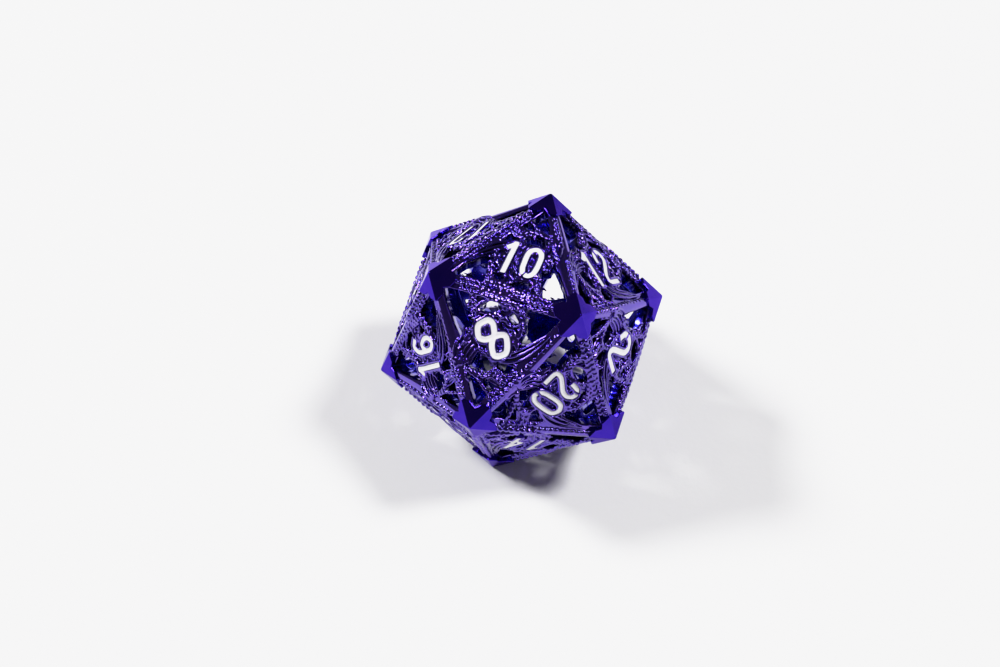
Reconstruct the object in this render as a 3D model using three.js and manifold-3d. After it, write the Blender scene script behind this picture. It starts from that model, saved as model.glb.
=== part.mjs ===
// Hollow, openwork die with twenty faces.
// Two half shells make a cage: smooth corner tips, edge bars and a pierced web on each face.
// Each digit is a separate enamel fill that sits in a rimmed channel in the web.
// Millimetres, +Z up. The origin is the middle of the bottom face, which carries the number 11.

import * as THREE from 'three';
import { ConvexGeometry } from 'three/addons/geometries/ConvexGeometry.js';
import { mergeVertices } from 'three/addons/utils/BufferGeometryUtils.js';
import Module from 'manifold-3d';

const wasm = await Module();
wasm.setup();

// Driving dimensions
const EDGE = 14;                    // edge of the icosahedron that the corner tips lie on
const WALL = 1.7;                   // from a face plane to the hollow inside
const WEB_DROP = 0.25;              // the web lies this far below the face plane
const BAR_DROP = 0.58;              // the edge bars lie this far below the sharp edge
const TIP_REACH = 0.19 * EDGE;      // a corner tip runs this far along each edge
const SEAM = 0.06;                  // between the two half shells

const DIGIT_HEIGHT = 0.27 * EDGE;   // in a number with two digits
const SINGLE_HEIGHT = 0.29 * EDGE;  // in a number with one digit
const STROKE = 0.16;                // width of a stroke, as a share of the digit's height
const RIM = 0.16;                   // width of the raised rim around a channel
const RIM_DROP = 0.05;              // top of the rim below the face plane
const LEDGE = 0.08;                 // web between a rim and a hole, at least
const ENAMEL_DROP = 0.12;           // top of the enamel below the face plane
const CHANNEL_DEPTH = 0.75;         // floor of the channel below the face plane
const ENAMEL_CLEARANCE = 0.03;      // between the enamel and its channel
const FLATNESS = 0.002;             // facets that differ by less than this are one facet

// Icosahedron with a face at the bottom and a face on top
const PHI = (1 + Math.sqrt(5)) / 2;
const IN_RADIUS = PHI ** 2 * EDGE / (2 * Math.sqrt(3));
const MID_RADIUS = PHI * EDGE / 2;
const OUT_RADIUS = EDGE * Math.sqrt(PHI * Math.sqrt(5)) / 2;
const CENTRE = new THREE.Vector3(0, 0, IN_RADIUS);

const SMALL_RING = EDGE / Math.sqrt(3);
const LARGE_RING = PHI * SMALL_RING;
const RINGS = {
  top: { radius: SMALL_RING, height: IN_RADIUS },
  high: { radius: LARGE_RING, height: IN_RADIUS / PHI ** 3 },
  low: { radius: LARGE_RING, height: -IN_RADIUS / PHI ** 3 },
  base: { radius: SMALL_RING, height: -IN_RADIUS },
};

// A vertex, measured from the centre of the die
function vertex(ring, degrees) {
  const { radius, height } = RINGS[ring];
  const angle = THREE.MathUtils.degToRad(degrees);
  return new THREE.Vector3(radius * Math.cos(angle), radius * Math.sin(angle), height);
}

const T60 = vertex('top', 60);
const T180 = vertex('top', 180);
const T300 = vertex('top', 300);
const H0 = vertex('high', 0);
const H120 = vertex('high', 120);
const H240 = vertex('high', 240);
const L60 = vertex('low', 60);
const L180 = vertex('low', 180);
const L300 = vertex('low', 300);
const B0 = vertex('base', 0);
const B120 = vertex('base', 120);
const B240 = vertex('base', 240);
const VERTICES = [T60, T180, T300, H0, H120, H240, L60, L180, L300, B0, B120, B240];

// Each face: its number, the vertex above the number, the other two vertices,
// and how many thirds of a turn its web pattern is turned. Opposite faces add up to 21.
const UPPER_FACES = [
  { number: 10, corners: [T60, T180, T300], turn: 2 },
  { number: 8, corners: [T180, T300, H240], turn: 0 },
  { number: 12, corners: [T60, H0, T300], turn: 0 },
  { number: 17, corners: [T180, T60, H120], turn: 1 },
  { number: 16, corners: [L180, T180, H240], turn: 0 },
  { number: 3, corners: [T180, L180, H120], turn: 2 },
  { number: 20, corners: [L300, H240, T300], turn: 1 },
  { number: 2, corners: [H0, L300, T300], turn: 0 },
  { number: 7, corners: [T60, L60, H120], turn: 1 },
  { number: 15, corners: [H0, L60, T60], turn: 2 },
];
const LOWER_FACES = [
  { number: 11, corners: [B240, B0, B120], turn: 2 },
  { number: 13, corners: [B0, B120, L60], turn: 0 },
  { number: 9, corners: [B240, L180, B120], turn: 0 },
  { number: 4, corners: [B0, B240, L300], turn: 1 },
  { number: 5, corners: [H0, B0, L60], turn: 0 },
  { number: 18, corners: [B0, H0, L300], turn: 2 },
  { number: 1, corners: [H120, L60, B120], turn: 1 },
  { number: 19, corners: [L180, H120, B120], turn: 0 },
  { number: 14, corners: [B240, L300, H240], turn: 1 },
  { number: 6, corners: [L180, B240, H240], turn: 2 },
];
const FACES = [...UPPER_FACES, ...LOWER_FACES];

// Holes in the web of a face, as shares of EDGE. (0, 0) is the middle of the face, +Y its up vertex.
const HOLES = [
  [[0, 0.444], [0.088, 0.31], [0.03, 0.25], [-0.01, 0.16], [-0.145, 0.15], [-0.055, 0.35]],
  [[0.275, -0.03], [0.38, -0.216], [0.105, -0.216], [0.085, -0.15], [0.19, -0.09]],
  [[-0.385, -0.216], [-0.285, -0.045], [-0.262, -0.07], [-0.285, -0.216]],
  [[-0.235, -0.01], [-0.13, 0.01], [-0.135, -0.12], [-0.19, -0.12]],
  [[-0.25, -0.216], [-0.225, -0.12], [-0.195, -0.216]],
  [[-0.11, -0.216], [-0.1, -0.14], [-0.035, -0.216]],
  [[0.155, 0.03], [0.2, 0.02], [0.18, -0.045], [0.15, -0.02]],
];
const RING_HOLE = { x: 0.125, y: 0.15, long: 0.07, short: 0.034, tilt: -42, sides: 10 };

// Centre lines of the digits, one unit high, drawn in straight strokes. A loop ends where it starts.
const loop = (points) => [...points, points[0]];
const isLoop = (points) => String(points[0]) === String(points.at(-1));
const turnedRound = (lines) => lines.map((points) => points.map(([x, y]) => [-x, -y]));
const SIX = [
  [[0.2, 0.34], [0.02, 0.42], [-0.18, 0.22], [-0.18, -0.12]],
  loop([[0, -0.42], [0.2, -0.27], [0.2, -0.06], [0, 0.09], [-0.2, -0.04], [-0.2, -0.27]]),
];
const DIGITS = {
  0: [loop([[0, 0.42], [0.2, 0.26], [0.2, -0.26], [0, -0.42], [-0.2, -0.26], [-0.2, 0.26]])],
  1: [[[0.02, 0.42], [0.02, -0.42]], [[-0.14, 0.31], [0.02, 0.41]]],
  2: [[[-0.2, 0.14], [-0.2, 0.28], [0.02, 0.42], [0.21, 0.27], [0.19, 0.09], [-0.2, -0.42], [0.23, -0.42]]],
  3: [[[-0.22, 0.42], [0.2, 0.42], [-0.03, 0.1], [0.2, -0.08], [0.2, -0.28], [0, -0.42], [-0.22, -0.28]]],
  4: [[[0.1, -0.42], [0.1, 0.42]], [[0.1, 0.38], [-0.22, -0.14], [0.25, -0.14]]],
  5: [[[0.2, 0.42], [-0.18, 0.42], [-0.18, 0.06], [0.06, 0.11], [0.21, -0.04], [0.2, -0.28], [0, -0.42],
    [-0.2, -0.3]]],
  6: SIX,
  7: [[[-0.22, 0.25], [-0.2, 0.42], [0.22, 0.42], [-0.08, -0.43]]],
  8: [
    loop([[0.04, 0.42], [0.23, 0.3], [0.2, 0.13], [0.02, 0.02], [-0.18, 0.13], [-0.14, 0.31]]),
    loop([[0.01, 0.02], [0.2, -0.12], [0.16, -0.29], [-0.05, -0.42], [-0.24, -0.29], [-0.19, -0.1]]),
  ],
  9: turnedRound(SIX),
};
const MARK = [[[-0.16, 0], [0.16, 0]]];
const MARK_LINE = -0.68;            // height of the mark under 6 and 9, as a share of the digit's height
const DIGIT_PITCH = 0.54;           // from one digit to the next, as a share of the digit's height
const PAIR_SQUEEZE = 0.72;          // the digits of a pair are drawn narrower

const CHROME = new THREE.MeshStandardMaterial({
  color: 0x4a2ca0, metalness: 1, roughness: 0.22, flatShading: true,
});
const ENAMEL = new THREE.MeshStandardMaterial({
  color: 0xf1f0f5, metalness: 0, roughness: 0.3, flatShading: true,
});

// A closed three.js geometry as a solid that can be joined and cut
function solid(geometry, matrix) {
  const bare = geometry.clone();
  bare.deleteAttribute('normal');
  bare.deleteAttribute('uv');
  if (matrix) bare.applyMatrix4(matrix);
  const closed = mergeVertices(bare);
  return new wasm.Manifold(new wasm.Mesh({
    numProp: 3,
    vertProperties: Float32Array.from(closed.attributes.position.array),
    triVerts: Uint32Array.from(closed.index.array),
  }));
}

// Solids joined into one, with the triangles of each flat facet merged
function joined(solids) {
  return merged(solids.reduce((sum, next) => sum.add(next)));
}

function merged(body) {
  return body.asOriginal().simplify(FLATNESS);
}

function meshOf(body, name, material) {
  const { vertProperties, triVerts } = body.getMesh();
  const geometry = new THREE.BufferGeometry();
  geometry.setAttribute('position', new THREE.BufferAttribute(Float32Array.from(vertProperties), 3));
  geometry.setIndex(new THREE.BufferAttribute(Uint32Array.from(triVerts), 1));
  const mesh = new THREE.Mesh(geometry, material.clone());
  mesh.name = name;
  return mesh;
}

// A point at a distance from the centre of the die, in the direction of a given vector
function alongRay(direction, distance) {
  return direction.clone().setLength(distance).add(CENTRE);
}

function faceMiddle(face) {
  const [a, b, c] = face.corners;
  return new THREE.Vector3().add(a).add(b).add(c).divideScalar(3);
}

// Convex bodies on the axes of the icosahedron
function icosahedron(inRadius) {
  const reach = OUT_RADIUS * inRadius / IN_RADIUS;
  return solid(new ConvexGeometry(VERTICES.map((v) => alongRay(v, reach))));
}

// Twelve planes, one across each vertex direction
function dodecahedron(planeDistance) {
  const reach = planeDistance * OUT_RADIUS / IN_RADIUS;
  return solid(new ConvexGeometry(FACES.map((face) => alongRay(faceMiddle(face), reach))));
}

// Thirty planes, one across the middle of each edge
function triacontahedron(planeDistance) {
  const atVertices = VERTICES.map((v) => alongRay(v, planeDistance * OUT_RADIUS / MID_RADIUS));
  const atFaces = FACES.map((face) => alongRay(faceMiddle(face), planeDistance * MID_RADIUS / IN_RADIUS));
  return solid(new ConvexGeometry([...atVertices, ...atFaces]));
}

// Places a shape drawn in the plane of a face: +Y to the vertex above the number, +Z outwards
function facePlane(face) {
  const middle = faceMiddle(face);
  const outwards = middle.clone().normalize();
  const up = face.corners[0].clone().sub(middle).normalize();
  const right = up.clone().cross(outwards);
  return new THREE.Matrix4().makeBasis(right, up, outwards).setPosition(middle.add(CENTRE));
}

// A prism over an outline, from one height over the face plane to another
function prism(outline, from, to) {
  const shape = new THREE.Shape(outline);
  const geometry = new THREE.ExtrudeGeometry(shape, { depth: to - from, bevelEnabled: false });
  geometry.translate(0, 0, from);
  return geometry;
}

// One side of a stroke: its centre line moved sideways, with pointed turns
function sideLine(line, offset, closed) {
  const last = line.length - 1;
  return line.map((point, i) => {
    const before = closed ? line.at(i - 1) : line[Math.max(i - 1, 0)];
    const after = closed ? line[(i + 1) % line.length] : line[Math.min(i + 1, last)];
    const heading = (i || closed ? point.clone().sub(before) : after.clone().sub(point)).normalize();
    const next = (i < last || closed ? after.clone().sub(point) : heading.clone()).normalize();
    const across = new THREE.Vector2(-heading.y - next.y, heading.x + next.x).normalize();
    const stretch = across.dot(new THREE.Vector2(-heading.y, heading.x));
    return point.clone().addScaledVector(across, offset / stretch);
  });
}

// A loop's two side lines, the outer one first
function ringLines(line, half) {
  const sides = [sideLine(line, half, true), sideLine(line, -half, true)];
  return sides.sort((a, b) => Math.abs(THREE.ShapeUtils.area(b)) - Math.abs(THREE.ShapeUtils.area(a)));
}

// A glyph's strokes as a solid, from one height over the face plane to another.
// Strokes that are grown past their own width fill the inside of a loop.
function strokeSolid(glyph, grow, from, to) {
  const half = glyph.height * STROKE / 2 + grow;
  return joined(glyph.lines.map((points) => {
    const line = points.map(([x, y]) => new THREE.Vector2(x * glyph.width, y * glyph.height).add(glyph));
    if (isLoop(points)) {
      const [outer, inner] = ringLines(line.slice(1), half);
      const filled = solid(prism(outer, from, to));
      return grow > 0 ? filled : filled.subtract(solid(prism(inner, from - 1, to + 1)));
    }
    const last = line.length - 1;
    const lead = line[0].clone().sub(line[1]).setLength(half);
    const tail = line[last].clone().sub(line[last - 1]).setLength(half);
    line[0].add(lead);
    line[last].add(tail);
    return solid(prism([...sideLine(line, half), ...sideLine(line, -half).reverse()], from, to));
  }));
}

// The glyphs of a number, each with its place on the face
function glyphsOf(number) {
  const name = `enamel_${number}`;
  if (number > 9) {
    const size = { y: 0, height: DIGIT_HEIGHT, width: DIGIT_HEIGHT * PAIR_SQUEEZE };
    const offset = DIGIT_PITCH * DIGIT_HEIGHT / 2;
    return [
      { name: `${name}_tens`, lines: DIGITS[Math.floor(number / 10)], x: -offset, ...size },
      { name: `${name}_units`, lines: DIGITS[number % 10], x: offset, ...size },
    ];
  }
  const size = { x: 0, height: SINGLE_HEIGHT, width: SINGLE_HEIGHT };
  const glyphs = [{ name, lines: DIGITS[number], y: 0, ...size }];
  if (number === 6 || number === 9) {
    glyphs.push({ name: `${name}_mark`, lines: MARK, y: MARK_LINE * SINGLE_HEIGHT, ...size });
  }
  return glyphs;
}

function ringOutline() {
  const { x, y, long, short, tilt, sides } = RING_HOLE;
  const curve = new THREE.EllipseCurve(x, y, long, short, 0, 2 * Math.PI, false,
    THREE.MathUtils.degToRad(tilt));
  return curve.getPoints(sides).slice(0, sides).map((p) => [p.x, p.y]);
}

// The holes through one face, kept clear of the number's channels
function faceHoles(face, pads) {
  const turn = new THREE.Matrix4().makeRotationZ(face.turn * 2 * Math.PI / 3);
  const outlines = [...HOLES, ringOutline()];
  const prisms = outlines.map((outline) => {
    const scaled = outline.map(([x, y]) => new THREE.Vector2(x, y).multiplyScalar(EDGE));
    return solid(prism(scaled, -WALL - 0.2, 1), turn);
  });
  return joined(prisms).subtract(pads);
}

function placed(body, face) {
  return body.transform(facePlane(face).elements);
}

// A wedge of space over ten faces, from the centre of the die outwards
function sector(faces, lift) {
  const reach = 1.3;
  const points = [new THREE.Vector3()];
  const index = [];
  const edges = new Map();
  const indexOf = (v) => {
    const found = points.findIndex((p) => p.distanceTo(v) < 1e-6);
    return found < 0 ? points.push(v) - 1 : found;
  };
  for (const face of faces) {
    const [a, b, c] = face.corners.map((v) => v.clone().multiplyScalar(reach));
    const outwards = b.clone().sub(a).cross(c.clone().sub(a)).dot(a) > 0;
    const corners = (outwards ? [a, b, c] : [a, c, b]).map(indexOf);
    index.push(...corners);
    corners.forEach((from, i) => {
      const to = corners[(i + 1) % 3];
      if (!edges.delete(`${to},${from}`)) edges.set(`${from},${to}`, [from, to]);
    });
  }
  for (const [from, to] of edges.values()) index.push(0, to, from);
  const geometry = new THREE.BufferGeometry().setFromPoints(points);
  geometry.setIndex(index);
  return solid(geometry, new THREE.Matrix4().makeTranslation(0, 0, CENTRE.z + lift));
}

// The cage before it is split into halves
function cage() {
  const tipPlane = OUT_RADIUS - TIP_REACH * EDGE / 2 / OUT_RADIUS;
  const tips = icosahedron(IN_RADIUS).subtract(dodecahedron(tipPlane));
  let body = icosahedron(IN_RADIUS - WEB_DROP).intersect(triacontahedron(MID_RADIUS - BAR_DROP)).add(tips);
  const holes = [];
  const channels = [];
  for (const face of FACES) {
    const glyphs = glyphsOf(face.number);
    const rims = joined(glyphs.map((glyph) => strokeSolid(glyph, RIM, -CHANNEL_DEPTH, -RIM_DROP)));
    const pads = joined(glyphs.map((glyph) => strokeSolid(glyph, RIM + LEDGE, -2 * WALL, 2 * WALL)));
    body = body.add(placed(rims, face));
    holes.push(placed(faceHoles(face, pads), face));
    for (const glyph of glyphs) {
      channels.push(placed(strokeSolid(glyph, 0, -CHANNEL_DEPTH, WALL), face));
    }
  }
  const cuts = [icosahedron(IN_RADIUS - WALL), ...holes, ...channels];
  return body.subtract(joined(cuts));
}

const die = new THREE.Group();
const body = cage();
die.add(meshOf(body.intersect(sector(UPPER_FACES, SEAM / 2)), 'upper_shell', CHROME));
die.add(meshOf(body.intersect(sector(LOWER_FACES, -SEAM / 2)), 'lower_shell', CHROME));
for (const face of FACES) {
  for (const glyph of glyphsOf(face.number)) {
    const floor = -CHANNEL_DEPTH + ENAMEL_CLEARANCE;
    const fill = strokeSolid(glyph, -ENAMEL_CLEARANCE, floor, -ENAMEL_DROP);
    die.add(meshOf(placed(fill, face), glyph.name, ENAMEL));
  }
}

export default die;
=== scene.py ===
"""Hollow, openwork die with twenty faces: violet plated metal with white enamel numbers.

Each face is a pierced web panel with scale bands, ridges and beads. Smooth tips cover the twelve corners,
and each digit is an enamel fill in a rimmed channel of its panel.

Shapes are worked out in millimetres and go into the scene in metres. A face has a frame of its own:
+Y to the vertex above its number, +Z outwards, the origin in the middle of the face plane.
"""

import math

import bpy
import numpy as np
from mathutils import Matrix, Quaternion, Vector


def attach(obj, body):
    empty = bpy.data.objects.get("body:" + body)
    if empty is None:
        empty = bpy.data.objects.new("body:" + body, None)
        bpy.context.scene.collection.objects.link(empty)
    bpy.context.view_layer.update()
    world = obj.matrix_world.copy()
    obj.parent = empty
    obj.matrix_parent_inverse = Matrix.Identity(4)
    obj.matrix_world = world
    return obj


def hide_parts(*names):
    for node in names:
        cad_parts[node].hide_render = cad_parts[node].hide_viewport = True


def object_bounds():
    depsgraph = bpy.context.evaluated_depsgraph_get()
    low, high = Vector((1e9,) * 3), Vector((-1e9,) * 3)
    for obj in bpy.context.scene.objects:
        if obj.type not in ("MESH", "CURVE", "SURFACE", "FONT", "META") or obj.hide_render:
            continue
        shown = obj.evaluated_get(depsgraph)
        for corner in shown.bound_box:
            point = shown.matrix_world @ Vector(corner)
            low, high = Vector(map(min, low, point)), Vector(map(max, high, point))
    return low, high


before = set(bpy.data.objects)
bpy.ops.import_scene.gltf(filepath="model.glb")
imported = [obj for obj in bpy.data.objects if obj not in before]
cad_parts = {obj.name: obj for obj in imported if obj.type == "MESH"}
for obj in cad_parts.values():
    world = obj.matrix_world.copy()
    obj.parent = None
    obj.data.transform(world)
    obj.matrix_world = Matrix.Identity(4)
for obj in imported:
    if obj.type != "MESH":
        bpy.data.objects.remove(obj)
cad_low, cad_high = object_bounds()

MM = 0.001
PHI = (1 + math.sqrt(5)) / 2
ROOT3 = math.sqrt(3)

# The die rests on a face, so the height of the frame's box is the distance across two faces.
EDGE = (cad_high.z - cad_low.z) / MM * ROOT3 / PHI**2
IN_RADIUS = PHI**2 * EDGE / (2 * ROOT3)
CENTRE = np.array([0, 0, cad_low.z / MM + IN_RADIUS])
FACE_IN_RADIUS = EDGE / (2 * ROOT3)     # from the middle of a face to its edges
WEDGE = FACE_IN_RADIUS / IN_RADIUS      # slope of the plane between two panels

# Metal
GRID = 0.066            # between the points of the distance grid
BLOCK_SPAN = ((-0.53, 0.53), (-0.32, 0.61))     # of the grid around a face, as shares of EDGE
RELAX = 0.5             # how far a point moves to the middle of its neighbours
WEB_BOTTOM = -1.55      # heights over the face plane
WEB_TOP = -0.46
CREST = -0.56           # the web's height at an edge of the die
CREST_SLOPE = 0.42
OUTER_SLOPE = 0.7       # added to it past the edge
CREST_BLEND = 0.25
MEETING = 0.04          # a panel reaches this far past the plane between two panels
BEAD_REACH = 0.2        # and its beads this far
BEAD_ROOM = {"below_crest": 0.2, "height": 0.08}    # where the reach grows from the one to the other
LIP = {"height": 0.07, "offset": 0.09, "width": 0.055}     # raised lip along the holes
HOLE_MARGIN = 0.03      # beads and scales reach this far over a hole
HOLE_ROUNDING = 0.12    # of the web's rim along a hole
WAVES = {"hole": (0.02, 1.3), "web": (0.03, 1.6)}     # height and length of the casting's unevenness
RIPPLES = 7             # waves in it
LEVELLING = 12          # rounds of averaging that level the surface from which depth is measured
LEVEL_LOWEST = WEB_TOP - 0.2
MARGIN = {"drop": 0.1, "ridge": 0.12}       # past its radius, in which a shape blends into the metal
SPECK = 0.02            # value given to a grid point that changes sides

# Tips
TIP_REACH = 0.19 * EDGE
TIP_BORDER = 0.165 * EDGE
TIP_NOTCH = 0.138 * EDGE
NOTCH_WIDTH = 0.034 * EDGE
TIP_DEPTH = 0.8
TIP_ROOT = 1.6          # the tip's inner point lies this far below the corner
TIP_BEVEL = 0.08

# Numbers
DIGIT_HEIGHT = 0.27 * EDGE
SINGLE_HEIGHT = 0.29 * EDGE
STROKE = 0.15           # share of a digit's height
PAIR_STROKE = 0.135
SLIT = 0.016            # half the width of the gaps in broken strokes, share of a digit's height
DIGIT_PITCH = 0.54      # share of a digit's height
PAIR_SQUEEZE = 0.72
MARK_LINE = -0.68       # share of a digit's height
RIM_WIDTH = 0.17
RIM_TOP = -0.045
RIM_ROUNDING = 0.1
COUNTER_LIFT = 0.03     # of the metal inside a closed stroke, over the web
COUNTER_ROUNDING = 0.03
CORNER_CUT = 0.2        # share of a line cut off at each turn
CHANNEL_FLOOR = -0.6
NUMBER_BOTTOM = WEB_BOTTOM + 0.4    # underside of the metal that carries a number
ENAMEL_GRID = 0.05
ENAMEL_GAP = 0.03
ENAMEL_TOP = -0.085
ENAMEL_BOTTOM = CHANNEL_FLOOR + 0.02
ENAMEL_DISH = {"depth": 0.08, "reach": 0.8, "power": 0.7}       # reach is a share of half a stroke
ENAMEL_ROUNDING = 0.05

SEED = 20

RINGS = {
    "T": (EDGE / ROOT3, IN_RADIUS),
    "H": (PHI * EDGE / ROOT3, IN_RADIUS / PHI**3),
    "L": (PHI * EDGE / ROOT3, -IN_RADIUS / PHI**3),
    "B": (EDGE / ROOT3, -IN_RADIUS),
}
VERTICES = ["T60", "T180", "T300", "H0", "H120", "H240", "L60", "L180", "L300", "B0", "B120", "B240"]

# Number: the vertex above it, the other two vertices, thirds of a turn of the web's pattern
UPPER_FACES = {
    10: ("T60", "T180", "T300", 2),
    8: ("T180", "T300", "H240", 0),
    12: ("T60", "H0", "T300", 0),
    17: ("T180", "T60", "H120", 1),
    16: ("L180", "T180", "H240", 0),
    3: ("T180", "L180", "H120", 2),
    20: ("L300", "H240", "T300", 1),
    2: ("H0", "L300", "T300", 0),
    7: ("T60", "L60", "H120", 1),
    15: ("H0", "L60", "T60", 2),
}
LOWER_FACES = {
    11: ("B240", "B0", "B120", 2),
    13: ("B0", "B120", "L60", 0),
    9: ("B240", "L180", "B120", 0),
    4: ("B0", "B240", "L300", 1),
    5: ("H0", "B0", "L60", 0),
    18: ("B0", "H0", "L300", 2),
    1: ("H120", "L60", "B120", 1),
    19: ("L180", "H120", "B120", 0),
    14: ("B240", "L300", "H240", 1),
    6: ("L180", "B240", "H240", 2),
}
FACES = UPPER_FACES | LOWER_FACES

# Holes in the web, as shares of EDGE
HOLES = [
    [(0, 0.444), (0.03, 0.4), (0.088, 0.31), (0.03, 0.253), (0, 0.19), (-0.01, 0.155), (-0.05, 0.15),
     (-0.1, 0.178), (-0.145, 0.155), (-0.11, 0.24), (-0.055, 0.36)],
    [(0.273, -0.03), (0.38, -0.216), (0.25, -0.216), (0.16, -0.19), (0.1, -0.16), (0.09, -0.135),
     (0.16, -0.118), (0.2, -0.08), (0.245, -0.05)],
    [(-0.385, -0.216), (-0.345, -0.15), (-0.288, -0.05), (-0.262, -0.04), (-0.277, -0.216)],
    [(-0.235, -0.01), (-0.13, 0.012), (-0.118, -0.055), (-0.135, -0.118), (-0.18, -0.118), (-0.21, -0.07)],
    [(-0.255, -0.216), (-0.225, -0.13), (-0.195, -0.216)],
    [(-0.11, -0.216), (-0.105, -0.142), (-0.08, -0.135), (-0.035, -0.216)],
    [(0.155, 0.03), (0.2, 0.02), (0.18, -0.045), (0.15, -0.02)],
]
RING_HOLE = {"x": 0.125, "y": 0.15, "long": 0.07, "short": 0.034, "tilt": -42}
RING_WIDTH = 0.12       # radius of the raised ring around it
RING_LIFT = 0.16        # of its middle over the web
BALL_LIFT = 0.1         # of a small ball's middle over the web

# Scaled bands: centre line as shares of EDGE, then millimetres: width, height, rows of scales
BANDS = [
    ([(0.13, 0.3), (0.175, 0.21), (0.21, 0.12), (0.232, 0.04), (0.24, -0.01)], 1.05, 0.16, 3),
    ([(-0.15, 0.112), (-0.06, 0.128), (0.025, 0.16), (0.055, 0.215), (0.1, 0.275)], 0.6, 0.14, 2),
    ([(-0.1, 0.03), (-0.095, -0.06), (-0.115, -0.135), (-0.19, -0.143), (-0.225, -0.085), (-0.25, -0.01)],
     0.42, 0.16, 1),
    ([(-0.258, 0.0), (-0.245, -0.09), (-0.264, -0.21)], 0.4, 0.14, 1),
    ([(-0.175, -0.13), (-0.155, -0.18), (-0.15, -0.22)], 0.75, 0.12, 2),
    ([(0.07, 0.11), (0.125, 0.08), (0.135, 0.0), (0.12, -0.06), (0.07, -0.13)], 0.5, 0.14, 1),
    ([(0.21, -0.03), (0.17, -0.085), (0.1, -0.115), (0.06, -0.15)], 0.5, 0.12, 1),
]
SCALE_PITCH = 0.46      # along a band
SCALE_ROWS = 0.86       # share of a band's width that its rows fill

# A scale's radii, the share of the gap between rows that its wide radius may take, its tilt in radians, its
# height over the band, its room from a hole, the range of sizes and the spread of headings
SCALE = {"long": 0.29, "wide": 0.22, "high": 0.17, "share": 0.58, "tilt": 0.4, "lift": 0.03, "room": 0.02,
         "sizes": (0.92, 1.1), "spread": 0.12}

GRAIN_PITCH = 0.46      # between the small round grains of the open web
GRAIN_ROWS = 0.87       # pitch of their rows, as a share of it
GRAIN_SIZE = (0.18, 0.22)
GRAIN_HEIGHT = 0.9      # share of its size
GRAIN_SPREAD = 0.04
GRAIN_SPAN = ((-0.5, 0.5), (-0.3, 0.6))     # of their rows, as shares of EDGE

# Grains stay this far from the middle of a smooth ridge, from the edges of the face and from a hole
GRAIN_CLEAR = {"ridge": 0.3, "edge": 0.95, "hole": 0.08}
BAND_CLEAR = 0.6        # and from the middle of a band this share of its width
BAR_CLEAR = 2.2         # and this many half widths of the smooth bar from its edge

RIDGE_LOWEST = WEB_TOP - 0.1        # ground under a ridge, before its lift

# Smooth ridges: centre line as shares of EDGE, then millimetres: radius at the start and at the end, lift
FAN = [
    ([(-0.272, 0.045), (-0.245, 0.105), (-0.195, 0.142), (-0.14, 0.15)], 0.12, 0.08, 0.1),
    ([(-0.262, 0.035), (-0.23, 0.085), (-0.18, 0.115), (-0.122, 0.118)], 0.12, 0.08, 0.12),
    ([(-0.25, 0.026), (-0.215, 0.066), (-0.168, 0.088), (-0.11, 0.087)], 0.12, 0.08, 0.13),
    ([(-0.238, 0.018), (-0.2, 0.048), (-0.155, 0.062), (-0.1, 0.056)], 0.12, 0.08, 0.12),
    ([(-0.222, 0.012), (-0.185, 0.03), (-0.145, 0.036), (-0.1, 0.026)], 0.11, 0.07, 0.1),
]
SWEEPS = [
    ([(-0.07, -0.13), (-0.03, -0.178), (0.04, -0.219), (0.13, -0.239), (0.26, -0.244)], 0.15, 0.07, 0.18),
    ([(-0.03, -0.135), (0.01, -0.168), (0.07, -0.196), (0.14, -0.216), (0.23, -0.228)], 0.15, 0.06, 0.2),
    ([(0.01, -0.14), (0.045, -0.158), (0.09, -0.176), (0.14, -0.194), (0.2, -0.213)], 0.13, 0.05, 0.18),
    ([(0.16, 0.31), (0.2, 0.235), (0.245, 0.15), (0.275, 0.07)], 0.07, 0.12, 0.16),
]
TENDRILS = [
    ([(0.085, 0.03), (0.12, 0.055), (0.15, 0.04), (0.15, 0.015)], 0.12, 0.06, 0.2),
    ([(0.1, -0.035), (0.135, -0.03), (0.16, -0.055), (0.195, -0.05)], 0.12, 0.06, 0.16),
    ([(0.08, -0.08), (0.115, -0.08), (0.135, -0.105), (0.155, -0.13)], 0.12, 0.05, 0.14),
    ([(0.215, -0.035), (0.212, -0.065), (0.2, -0.09)], 0.13, 0.05, 0.08),
    ([(0.243, -0.03), (0.24, -0.055), (0.246, -0.075)], 0.11, 0.05, 0.06),
    ([(0.175, -0.085), (0.176, -0.11), (0.168, -0.128)], 0.12, 0.05, 0.08),
    ([(0.08, -0.135), (0.1, -0.145), (0.118, -0.162)], 0.12, 0.05, 0.08),
    ([(-0.12, 0.14), (-0.095, 0.16), (-0.082, 0.185)], 0.13, 0.06, 0.1),
    ([(0.005, 0.16), (0.002, 0.19), (-0.012, 0.21)], 0.13, 0.06, 0.1),
    ([(0.045, 0.24), (0.03, 0.262), (0.03, 0.285)], 0.13, 0.06, 0.08),
    ([(-0.118, -0.01), (-0.138, -0.03), (-0.155, -0.03)], 0.12, 0.05, 0.06),
    ([(-0.275, -0.03), (-0.292, -0.055), (-0.298, -0.085)], 0.12, 0.05, 0.06),
    ([(-0.2, -0.1), (-0.19, -0.085), (-0.178, -0.08)], 0.1, 0.05, 0.04),
]
BALLS = [(0.119, 0.043, 0.17), (0.148, -0.075, 0.13), (-0.095, -0.115, 0.13), (0.07, 0.14, 0.13)]

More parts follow.
